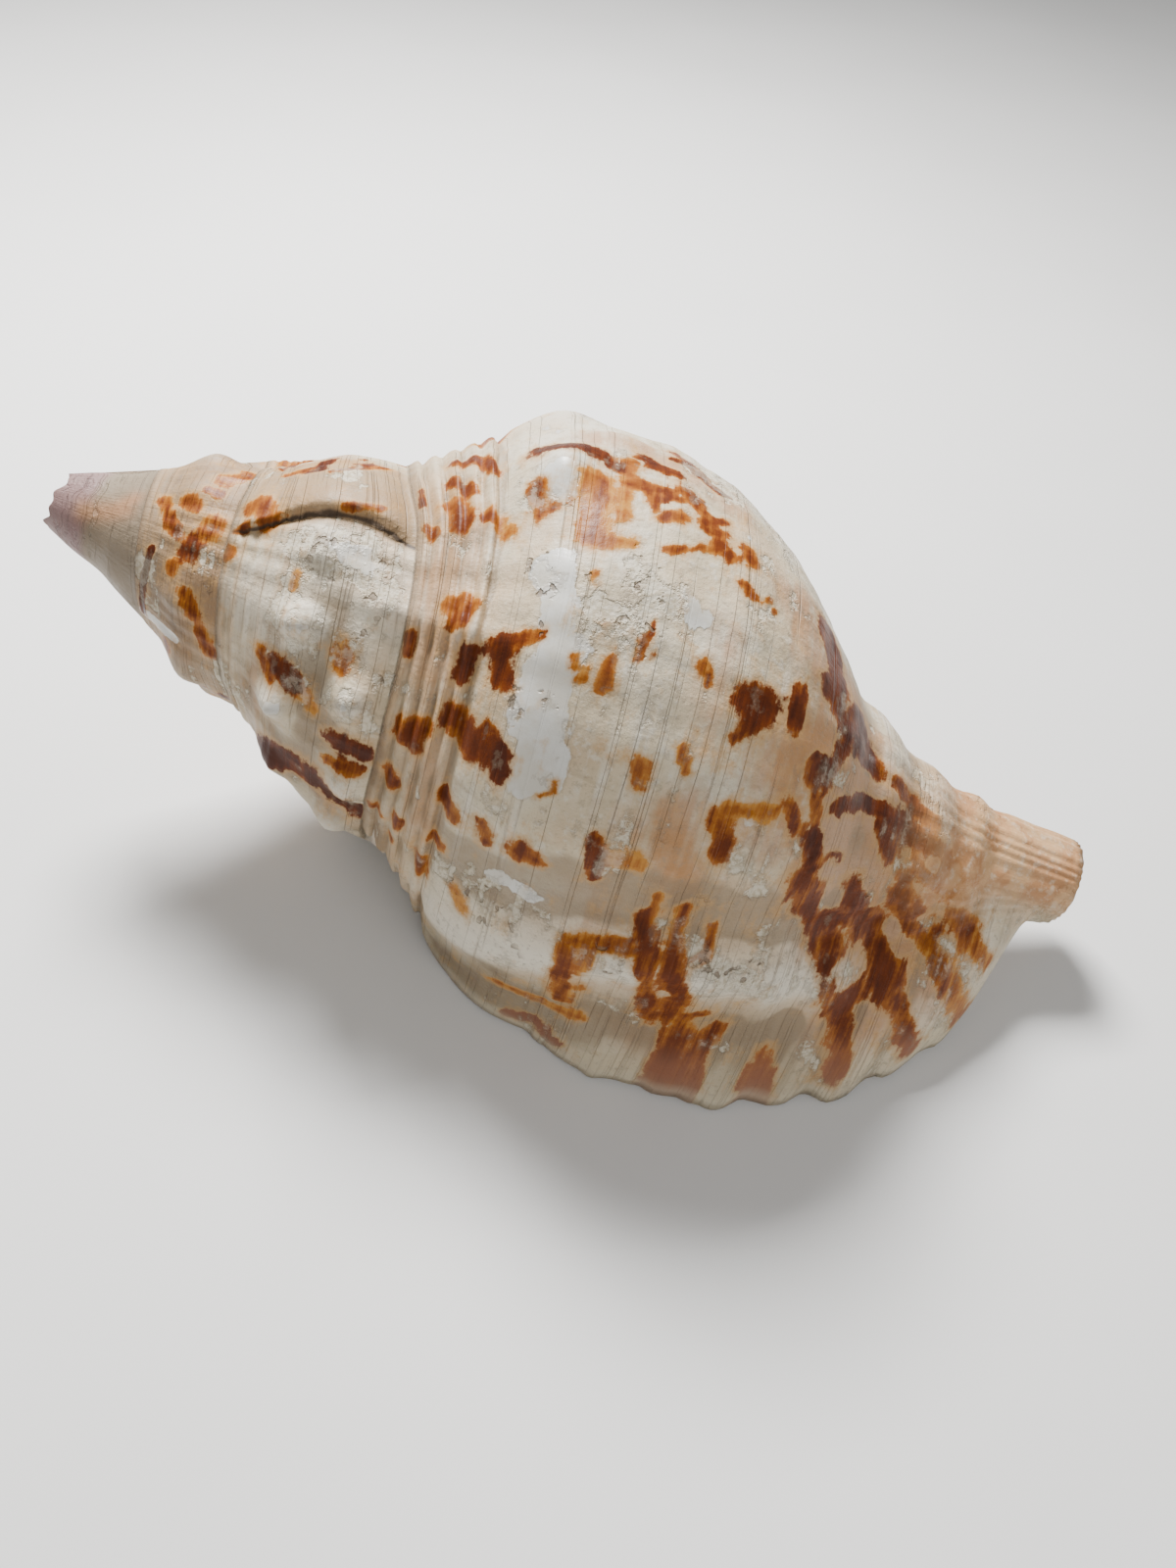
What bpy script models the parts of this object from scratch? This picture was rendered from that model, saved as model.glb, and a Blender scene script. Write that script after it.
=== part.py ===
import math

import bpy
import numpy as np

# A large knobbed triton-type sea shell, resting on its flared lip with the opening down.
# Lengths are millimetres along the shell's axis and out from it. PHI is the spiral angle
# in degrees: 0 at the lip, negative back toward the broken tip, one whorl every 360.
COLUMNS = 40
START = -1260.0
LIP_SIDE = -48.0
TOP = 279.0
TILT = 13.0
WALL = 3.2
WELD = 3.0
OPENS = -105.0
DEEP = -420.0

SUTURE = [(-905, 20), (-871, 22), (-731, 30.4), (-526, 44.6), (-467, 47), (-418, 51.5),
          (-372, 57.5), (-260, 68.5), (-151, 80.1), (-120, 88.5), (-94, 93), (-56, 96.2),
          (0, 98.5), (100, 112), (180, 122), (265, 134), (360, 148)]
WIDTH = [(-1260, 12), (-905, 25), (-725, 33), (-545, 38.5), (-400, 50), (-330, 58.5),
         (-295, 62), (-250, 63), (-185, 66.3), (-120, 69), (0, 75)]
STAGE_END = [(-1260, 60), (-780, 115), (-660, 130), (-360, 184), (-300, 197), (-200, 218),
             (-100, 245), (0, 280)]
CLOSES = [(-420, 156), (-360, 171), (-300, 188), (-200, 209), (-105, 236), (0, 240),
          (360, 240)]
FORM = [(0, 0), (0.05, 0.2), (0.12, 0.5), (0.2, 0.81), (0.28, 0.96), (0.38, 1),
        (0.47, 0.98), (0.57, 0.905), (0.68, 0.745), (0.78, 0.525), (0.88, 0.37), (0.95, 0.265),
        (1, 0.19), (1.08, 0.12), (1.25, 0)]
NECK = [(-780, 5), (-660, 5), (-460, 3), (-360, 5), (-270, 7), (-185, 8.5), (0, 12)]
SPOUT = [(205, 0), (220, 2.6), (240, 6), (255, 4), (280, 1)]
BROKEN_TIP = [(0, 7.3), (7, 10.3), (15, 13), (20, 15.8), (33, 22.5), (46, 29)]
EDGE_RADIUS = [(0, 47), (0.08, 63), (0.167, 79.3), (0.213, 83.1), (0.253, 85.2),
               (0.309, 86), (0.358, 88.8), (0.401, 90.2), (0.475, 89.8), (0.536, 89.5),
               (0.6, 86.8), (0.665, 82.3), (0.74, 76.5), (0.795, 69), (0.864, 58),
               (0.914, 45.5), (0.957, 24), (0.975, 15), (1, 12.5)]
EDGE_TURN = [(0, 0), (0.08, 0), (0.167, 2.2), (0.213, 6.6), (0.253, 9.3), (0.309, 11.5),
             (0.358, 14.7), (0.401, 16.6), (0.475, 18.6), (0.536, 20.5), (0.6, 21.4),
             (0.665, 21.8), (0.756, 22.5), (0.8, 21.8), (0.864, 19.9), (0.914, 16.5),
             (0.957, 8), (0.975, -2), (1, -3)]

HEAD = [0, 0.04, 0.08, 0.12, 0.17, 0.21, 0.25, 0.29, 0.34, 0.38, 0.42, 0.56, 0.7, 0.85, 1]
BODY_CORDS = 6
CANAL_CORDS = 3

# Knobs: spiral angle, height along the axis, how far each stands out, half length round
# the whorl in degrees, half length along the axis.
KNOBS = [(-165, 108, 3.5, 11, 8), (-138, 114, 3.5, 9, 8), (-110, 126, 1.5, 14, 12),
         (-98, 107, 2, 7, 5), (-152, 124, 1.5, 9, 6), (-163, 138, 0.5, 10, 7),
         (-195, 112, 5, 12, 9), (-228, 106, 4.5, 12, 8), (-262, 101, 5.5, 12, 9),
         (-299, 93, 10, 14, 10), (-334, 90, 7.5, 13, 9),
         (-443, 70, 4.6, 7, 5), (-415, 70, 4.2, 7, 4.8), (-428, 86, 4.2, 7.5, 5),
         (-457, 87, 2.6, 7, 5), (-405, 91, 3.4, 7, 5), (-467, 70, 2.2, 7, 5),
         (-388, 72, 4, 8, 5), (-380, 90, 3, 8, 5), (-430, 77, 1, 16, 12),
         (-525, 63, 1, 9, 6), (-560, 61, 3.5, 9, 6), (-598, 56, 3.5, 9, 5),
         (-640, 53, 3, 9, 5), (-680, 50, 3, 10, 5), (-712, 47, 3, 10, 5),
         (-745, 43, 3.5, 12, 5), (-785, 40, 2, 12, 5), (-884, 33, 3, 14, 5),
         (-850, 35, 1.6, 12, 4)]
VARIX_STEP = -482.0


def curve(x, points):
    """A smooth curve through the points that never overshoots them."""
    px, py = np.array(points, float).T
    gap = np.diff(px)
    slope = np.diff(py) / gap
    a, b = slope[:-1], slope[1:]
    w1 = 2 * gap[1:] + gap[:-1]
    w2 = gap[1:] + 2 * gap[:-1]
    same = a * b > 0
    lean = np.concatenate([[slope[0]], np.zeros(len(a)), [slope[-1]]])
    lean[1:-1][same] = (w1 + w2)[same] / (w1[same] / a[same] + w2[same] / b[same])
    x = np.clip(x, px[0], px[-1])
    k = np.clip(np.searchsorted(px, x, side="right") - 1, 0, len(gap) - 1)
    u = (x - px[k]) / gap[k]
    low = (1 + 2 * u) * (1 - u) ** 2 * py[k] + u * (1 - u) ** 2 * gap[k] * lean[k]
    high = u * u * (3 - 2 * u) * py[k + 1] + u * u * (u - 1) * gap[k] * lean[k + 1]
    return low + high


def ease(x, start, end):
    u = np.clip((x - start) / (end - start), 0, 1)
    return u * u * (3 - 2 * u)


def bump(x, centre, half):
    return np.exp(-(((x - centre) / half) ** 2))


def outline(phi, t, seam):
    """Radius of the whorl's smooth outline; seam is the radius where it joins the last."""
    start = curve(phi, SUTURE)
    u = np.clip((t - start) / (curve(phi, STAGE_END) - start), 0, 1.25)
    f = curve(u, FORM)
    wide = curve(phi, WIDTH)
    r = np.where(u < 0.38, seam + (wide - seam) * f, wide * f)
    neck = curve(phi, NECK) * (1 + 0.25 * ease(t, 245, 280))
    fuller = curve(t, SPOUT) * ease(phi, -200, -130) * (1 - ease(phi, -75, -35))
    return 0.5 * (r + neck + np.sqrt((r - neck) ** 2 + 16)) + fuller


def relief(phi, t, s, v):
    """Height of the knobs, cords and former lips; s and v run down the rows from the seam."""
    grown = ease(phi, -1000, -400)
    h = np.zeros_like(t)
    for at, level, height, half_turn, half_height in KNOBS:
        h = h + height * bump(phi, at, half_turn) * bump(t, level, half_height)
    late = ease(phi, -370, -310)
    reach = 0.2 + 0.2 * late
    step = VARIX_STEP + 14 * bump(t, 47, 12) + 4 * bump(t, 90, 8)
    band = ease(phi, step - 45, step - 30) * (1 - ease(phi, step - 1, step + 1))
    near = ease(s, 0, 0.05) * (1 - ease(s, reach, reach + 0.06)) * ease(phi, -930, -860)
    near = near * (0.45 + 0.55 * late) * (1 - 0.85 * band)
    groove = (0.5 + 0.5 * np.cos(2 * np.pi * s / 0.084)) ** 1.7
    beads = 0.85 + 0.2 * np.cos(np.radians(phi) * 17 + 14 * s)
    h = h - (0.35 + 1.35 * grown ** 2) * near * (groove - 0.3) * beads
    h = h - (0.4 + 0.8 * late) * grown * bump(s, reach + 0.02, 0.03)
    ribs = 0.22 + 0.75 * ease(t, 188, 216) * ease(phi, -360, -320)
    ribs = ribs * ease(v, 0, 0.05) * (1 - 0.85 * ease(t, 246, 264))
    h = h - ribs * np.cos(2 * np.pi * v)
    rise = ease(phi, step - 38, step - 1.5) * (1 - ease(phi, step - 1, step + 1))
    h = h + 2.2 * rise * ease(s, 0.02, 0.12) * (1 - ease(s, 0.85, 1))
    h = h - 0.7 * bump(phi, step + 1.2, 1.3) * ease(s, 0.02, 0.1) * (1 - ease(s, 0.95, 1))
    ridge = -26 - 15 * bump(t, 175, 40)
    span = ease(t, 108, 128) * (1 - ease(t, 205, 235))
    h = h + 3.6 * bump(phi, ridge, 9) * span
    h = h - 2.2 * bump(phi, ridge - 19, 9) * span
    gutter = -7 - 8 * ease(t, 130, 185)
    h = h - 1.8 * bump(phi, gutter, 5.5) * ease(t, 115, 135) * (1 - ease(t, 225, 245))
    return h


def chips(phi, t, cord):
    """How far the lip's broken edge is cut back."""
    cut = 0.5 * np.cos(2 * np.pi * cord) * (0.4 + 0.8 * ease(t, 185, 215))
    cut = cut + 0.35 * np.sin(cord * 2.9 + 1) + 0.25 * np.sin(cord * 11.7)
    return cut * ease(phi, -6, 0) * ease(cord, 0, 0.4)


def flare(phi, t, rim):
    """How far the lip's edge spreads out and turns, growing toward the lip."""
    start = curve(phi, SUTURE)
    u = (t - start) / (TOP - start)
    back = 40 + 45 * ease(u, 0.55, 0.88)
    reach = np.clip((phi + back) / back, 0, 1) ** 2.3
    out = (curve(u, EDGE_RADIUS) - np.interp(u, rim[0], rim[1])) * reach
    return out, curve(u, EDGE_TURN) * ease(phi, -75, 0)


def place(phi, t, r, turn):
    """Shell coordinates to metres, with the axis along X and the lip's side along -Y."""
    angle = np.radians(LIP_SIDE - phi + turn)
    lean = math.radians(TILT)
    side = -r * np.cos(angle)
    up = r * np.sin(angle)
    x = t * math.cos(lean) + up * math.sin(lean)
    z = -t * math.sin(lean) + up * math.cos(lean)
    return np.stack([x, side, z], axis=-1) / 1000


def shell_mesh(n):
    """Points and faces of the whole shell, with n columns to a whorl."""
    last = round(-START / 360 * n)
    deep = last + round(DEEP / 360 * n)
    groove = last + round(OPENS / 360 * n)
    step = -START / last
    head = np.array(HEAD, float)
    body = np.linspace(0, 1, 2 * BODY_CORDS + 1)
    canal = np.linspace(0, 1, 2 * CANAL_CORDS + 1)
    ic = len(head) - 1
    i1 = ic + len(body)
    rows = i1 + len(canal)
    cord = np.concatenate([np.zeros(ic + 1), body * BODY_CORDS,
                           BODY_CORDS + canal[1:] * CANAL_CORDS])

    def heights(top, low, close):
        mid = low + WELD
        return np.concatenate([top + (low - top) * head, mid + (close - mid) * body,
                               close + (TOP - close) * canal[1:]])

    phis = START + step * np.arange(last + 1)
    t_all = np.zeros((last + 1, rows))
    smooth = np.zeros((last + 1, rows))
    raised = np.zeros((last + 1, rows))
    seam = np.zeros(last + 1)
    for j, phi in enumerate(phis):
        top = curve(phi, SUTURE) if j >= n else 0.6 + 1.1 * math.sin(math.radians(phi * 2))
        low = curve(phi + 360, SUTURE)
        t = heights(top, low, curve(phi + 360, CLOSES))
        s = (t - top) / (low - top)
        if j < n:
            smooth[j] = curve(t, BROKEN_TIP)
            raised[j] = smooth[j] + relief(phi, t, s, cord) * ease(t, 10, 20) * ease(j, 0, n / 3)
        else:
            seam[j] = raised[j - n][ic]
            smooth[j] = outline(phi, t, seam[j])
            raised[j] = smooth[j] + relief(phi, t, s, cord)
            raised[j][0] = seam[j]
        if j < last - n:
            raised[j][ic + 2:] = smooth[j][ic + 2:]
        t_all[j] = t
    start = curve(0.0, SUTURE)
    rim = ((t_all[last] - start) / (TOP - start), smooth[last])

    points = []
    outer = -np.ones((last + 1, rows), int)
    inner = -np.ones((last + 1, rows), int)

    def add(grid, j, i, xyz):
        grid[j, i] = len(points)
        points.append(tuple(xyz))

    for j, phi in enumerate(phis):
        turn = np.zeros(rows)
        r = raised[j].copy()
        if phi > -90:
            out, turn = flare(phi, t_all[j], rim)
            r = r + out
        r = r - chips(phi, t_all[j], cord)
        xyz = place(phi, t_all[j], r, turn)
        end = ic + 1
        if j >= last - n or j + n >= groove:
            end = rows
        elif j + n >= deep:
            end = i1 + 1
        for i in range(end):
            if i == 0 and j >= n:
                outer[j, 0] = outer[j - n, ic]
            elif i <= ic or j >= last - n or j + n >= deep:
                add(outer, j, i, xyz[i])

    for j in range(deep, last + 1):
        phi = phis[j]
        k = j - n
        close = curve(phi, CLOSES)
        low = curve(phi + 360, SUTURE)
        t = heights(curve(phi, SUTURE), low, close)
        slope = (outline(phi, t + 0.6, seam[j]) - outline(phi, t - 0.6, seam[j])) / 1.2
        long = np.sqrt(1 + slope ** 2)
        r = outline(phi, t, seam[j]) - WALL / long
        t_in = t + WALL * slope / long
        weld_t = t_all[k][ic + 1] - t_in[0]
        weld_r = raised[k][ic + 1] - r[0]
        blend = 1 - ease(t - t[0], 0, 9)
        opened = ease(phi, OPENS, OPENS + 50)
        foot_t = t_all[k][i1] - t_in[i1]
        foot_r = raised[k][i1] - r[i1]
        shut = (1 - opened) * ease(t, close - 16, close)
        r = r + weld_r * blend + foot_r * shut
        t_in = t_in + weld_t * blend + foot_t * shut
        r[i1:] = r[i1:] * opened + raised[k][i1:] * (1 - opened)
        t_in[i1:] = t[i1:] * opened + t_all[k][i1:] * (1 - opened)
        t_in[-1] = TOP
        turn = np.zeros(rows)
        if phi > -90:
            out, turn = flare(phi, np.maximum(t_in, t[0]), rim)
            out = out * (1 - blend)
            r = r + out
            turn = turn * (1 - blend)
        r = r - chips(phi, t_in, cord)
        xyz = place(phi, t_in, r, turn)
        for i in range(rows if j >= groove else i1 + 1):
            if i == 0:
                inner[j, 0] = outer[k, ic + 1]
            elif (i == i1 and j <= groove) or (i > i1 and j == groove):
                inner[j, i] = outer[k, i]
            else:
                add(inner, j, i, xyz[i])

    faces = []
    for j in range(last):
        open_side = j >= last - n
        in_lumen = j + n >= deep
        for i in range(rows - 1):
            if i == ic and not open_side:
                continue
            if i > ic and not open_side and not in_lumen:
                continue
            if i >= i1 and not open_side and j + n < groove:
                continue
            faces.append([outer[j, i], outer[j, i + 1], outer[j + 1, i + 1], outer[j + 1, i]])
    for j in range(deep, last):
        for i in range(rows - 1 if j >= groove else i1):
            faces.append([inner[j, i], inner[j + 1, i], inner[j + 1, i + 1], inner[j, i + 1]])
    for i in range(rows - 1):
        faces.append([outer[last, i], outer[last, i + 1], inner[last, i + 1], inner[last, i]])

    cap = len(points)
    ring = [inner[deep, i] for i in range(i1 + 1)]
    ring += [outer[deep - n, i] for i in range(i1 - 1, ic + 1, -1)]
    points.append(tuple(np.mean([points[p] for p in ring], axis=0)))
    for a, b in zip(ring, ring[1:] + ring[:1]):
        faces.append([a, b, cap])

    centre = inner[groove, rows - 1]
    for k in range(groove - n + 1, groove):
        faces.append([centre, outer[k + 1, rows - 1], outer[k, rows - 1]])
    for j in range(groove, last):
        faces.append([inner[j, rows - 1], inner[j + 1, rows - 1],
                      outer[j + 1, rows - 1], outer[j, rows - 1]])

    tip = len(points)
    rim_points = [points[outer[j, 0]] for j in range(n)]
    points.append(tuple(np.mean(rim_points, axis=0) + place(0.0, 1.5, 0.0, 0.0)))
    for j in range(n):
        faces.append([outer[j, 0], outer[(j + 1) % n, 0], tip])
    for i in range(ic):
        faces.append([outer[0, i + 1], outer[0, i], outer[n - 1, 0]])
    return np.array(points), [[int(p) for p in reversed(face)] for face in faces]


def rest(points):
    """Moves the shell so that the middle of its box's underside is the origin."""
    low, high = points.min(axis=0), points.max(axis=0)
    return points - [(low[0] + high[0]) / 2, (low[1] + high[1]) / 2, low[2]]


def material():
    mat = bpy.data.materials.new("shell_cream")
    mat.use_nodes = True
    shader = mat.node_tree.nodes["Principled BSDF"]
    shader.inputs["Base Color"].default_value = (0.74, 0.66, 0.54, 1)
    shader.inputs["Roughness"].default_value = 0.42
    return mat


def main():
    for obj in list(bpy.data.objects):
        bpy.data.objects.remove(obj)
    points, faces = shell_mesh(COLUMNS)
    mesh = bpy.data.meshes.new("shell")
    mesh.from_pydata([tuple(p) for p in rest(points)], [], faces)
    mesh.validate()
    mesh.materials.append(material())
    for polygon in mesh.polygons:
        polygon.use_smooth = True
    shell = bpy.data.objects.new("shell", mesh)
    bpy.context.scene.collection.objects.link(shell)


main()
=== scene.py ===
import math

import bpy
import numpy as np
from mathutils import Matrix, Vector


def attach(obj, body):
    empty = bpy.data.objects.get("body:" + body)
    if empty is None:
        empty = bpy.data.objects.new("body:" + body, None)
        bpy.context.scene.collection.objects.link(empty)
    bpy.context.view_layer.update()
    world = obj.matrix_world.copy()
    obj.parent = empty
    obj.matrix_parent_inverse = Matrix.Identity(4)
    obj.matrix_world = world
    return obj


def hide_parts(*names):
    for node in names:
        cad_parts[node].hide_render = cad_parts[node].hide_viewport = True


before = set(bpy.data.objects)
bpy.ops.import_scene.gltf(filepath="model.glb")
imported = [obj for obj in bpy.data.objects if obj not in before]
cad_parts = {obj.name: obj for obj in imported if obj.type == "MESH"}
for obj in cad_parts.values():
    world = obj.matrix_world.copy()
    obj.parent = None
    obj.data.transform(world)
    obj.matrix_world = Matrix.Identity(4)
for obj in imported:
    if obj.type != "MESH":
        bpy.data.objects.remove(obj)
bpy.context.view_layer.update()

# Lengths are millimetres; phi is the spiral angle in degrees, 0 at the lip and negative
# back toward the broken tip; t is the height along the shell's axis from the broken tip.
COLUMNS = 216           # columns of points a whorl
BETWEEN = (3, 5, 3)     # how much finer the rows are on the head, the body and the canal
START = -1260.0         # phi at the broken tip
DEEP = -420.0           # phi where the hollow inside ends
OPENS = -105.0          # phi where the canal's groove begins to open
LIP_SIDE = -48.0        # direction of the lip round the axis, in degrees
TILT = 13.0             # how far the axis leans down to the canal, in degrees
TOP = 279.0             # t of the canal's end
WALL = 3.2              # the wall's thickness
WELD = 3.0              # from the seam to the first row inside
MARKED_FROM = 20.0      # t where the scattered marks of the first whorls start
MARKED_TO = 226.0       # t where those of the last whorl end
FAR_SEED = 11

# Pairs of phi and t: the seam, the end of each whorl's own profile and the hollow's far side.
SUTURE = [
    (-905, 20), (-871, 22), (-731, 30.4), (-526, 44.6), (-467, 47), (-418, 51.5), (-372, 57.5),
    (-260, 68.5), (-151, 80.1), (-120, 88.5), (-94, 93), (-56, 96.2), (0, 98.5), (100, 112),
    (180, 122), (265, 134), (360, 148)]
STAGE_END = [
    (-1260, 60), (-780, 115), (-660, 130), (-360, 184), (-300, 197), (-200, 218), (-100, 245),
    (0, 280)]
CLOSES = [
    (-420, 156), (-360, 171), (-300, 188), (-200, 209), (-105, 236), (0, 240), (360, 240)]

# Pairs of phi and radius: the whorl at its widest, and its neck at the canal.
WIDTH = [
    (-1260, 12), (-905, 25), (-725, 33), (-545, 38.5), (-400, 50), (-330, 58.5), (-295, 62),
    (-250, 63), (-185, 66.3), (-120, 69), (0, 75)]
NECK = [
    (-780, 5), (-660, 5), (-460, 3), (-360, 5), (-270, 7), (-185, 8.5), (0, 12)]

# The profile: share of the way from the seam to its end, share of the widest radius.
FORM = [
    (0, 0), (0.05, 0.2), (0.12, 0.5), (0.2, 0.81), (0.28, 0.96), (0.38, 1), (0.47, 0.98),
    (0.57, 0.905), (0.68, 0.745), (0.78, 0.525), (0.88, 0.37), (0.95, 0.265), (1, 0.19),
    (1.08, 0.12), (1.25, 0)]

# Pairs of t and radius: what is added along the canal, and the cone left of the tip.
SPOUT = [
    (205, 0), (220, 2.6), (240, 6), (255, 4), (280, 1)]
BROKEN_TIP = [
    (0, 7.3), (7, 10.3), (15, 13), (20, 15.8), (33, 22.5), (46, 29)]

# The lip's edge: share of the way along it, with its radius and its turn in degrees.
EDGE_RADIUS = [
    (0, 47), (0.08, 63), (0.167, 79.3), (0.213, 83.1), (0.253, 85.2), (0.309, 86),
    (0.358, 88.8), (0.401, 90.2), (0.475, 89.8), (0.536, 89.5), (0.6, 86.8), (0.665, 82.3),
    (0.74, 76.5), (0.795, 69), (0.864, 58), (0.914, 45.5), (0.957, 24), (0.975, 15), (1, 12.5)]
EDGE_TURN = [
    (0, 0), (0.08, 0), (0.167, 2.2), (0.213, 6.6), (0.253, 9.3), (0.309, 11.5), (0.358, 14.7),
    (0.401, 16.6), (0.475, 18.6), (0.536, 20.5), (0.6, 21.4), (0.665, 21.8), (0.756, 22.5),
    (0.8, 21.8), (0.864, 19.9), (0.914, 16.5), (0.957, 8), (0.975, -2), (1, -3)]

# Row spacing: shares of the way from one seam to the next, and the cords below that.
HEAD = [0, 0.04, 0.08, 0.12, 0.17, 0.21, 0.25, 0.29, 0.34, 0.38, 0.42, 0.56, 0.7, 0.85, 1]
BODY_CORDS = 6
CANAL_CORDS = 3
CORD_PITCH = 0.084      # of the cords below the seam, as a share of the head
HEAD_LEVELS = 40        # levels down the head, and per cord below it
CORD_LEVELS = 16
THREAD_PITCH = 2.3      # of the fine threads, in levels
FLARES = -90            # phi where the lip starts to spread

# Knobs: spiral angle, height along the axis, how far each stands out, half length round
# the whorl in degrees, half length along the axis.
KNOBS = [
    (-165, 108, 3.5, 11, 8), (-138, 113, 5, 7, 6.5), (-110, 126, 1.5, 14, 12),
    (-98, 107, 2, 7, 5), (-152, 124, 1.5, 9, 6), (-163, 138, 0.5, 10, 7), (-195, 112, 5, 12, 9),
    (-228, 106, 4.5, 12, 8), (-262, 101, 5.5, 12, 9), (-299, 93, 10, 14, 10),
    (-334, 90, 7.5, 13, 9), (-443, 70, 5.4, 5.4, 4.4), (-415, 70, 5.2, 5.4, 4.4),
    (-429, 87.5, 5.2, 5.8, 4.6), (-457, 89, 3, 6, 5), (-403, 92, 4.4, 5.6, 4.6),
    (-467, 70, 2.6, 6, 5), (-388, 72, 4, 6, 5), (-380, 90, 3.4, 6, 5), (-428, 79, -1.6, 26, 11),
    (-525, 63, 1, 9, 6), (-560, 61, 3.5, 9, 6), (-598, 56, 3.5, 9, 5), (-640, 53, 3, 9, 5),
    (-680, 50, 3, 10, 5), (-712, 47, 3, 10, 5), (-745, 43, 3.5, 12, 5), (-785, 40, 2, 12, 5),
    (-884, 33, 3, 14, 5), (-850, 35, 1.6, 12, 4)]
VARIX_STEP = -482.0     # phi of the former lip's step on the spire
REST = (0.13696, -0.00681, -0.08541)    # metres from the shell's own origin to the frame's

# The camera of the photo: lens and film width in millimetres, place, and its three axes.
LENS = 27.05
FILM = 36
EYE = (0.02162, -0.21607, 0.26885)
EYE_AXES = ((0.9782, 0.1846, 0.0952), (-0.2005, 0.7199, 0.6645), (0.0541, -0.6691, 0.7412))

# The studio: floor half width, sky colour and strength, and each lamp's place, size, power.
FLOOR = 3
SKY = (0.88, 0.89, 0.9, 1)
SKY_POWER = 0.3
LAMPS = (("key", (-0.25, 0.4, 0.68), 0.25, 21.0), ("fill", (0.45, -0.75, 0.7), 0.7, 4.0))
LIT_POINT = (0, 0, 0.05)

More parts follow.
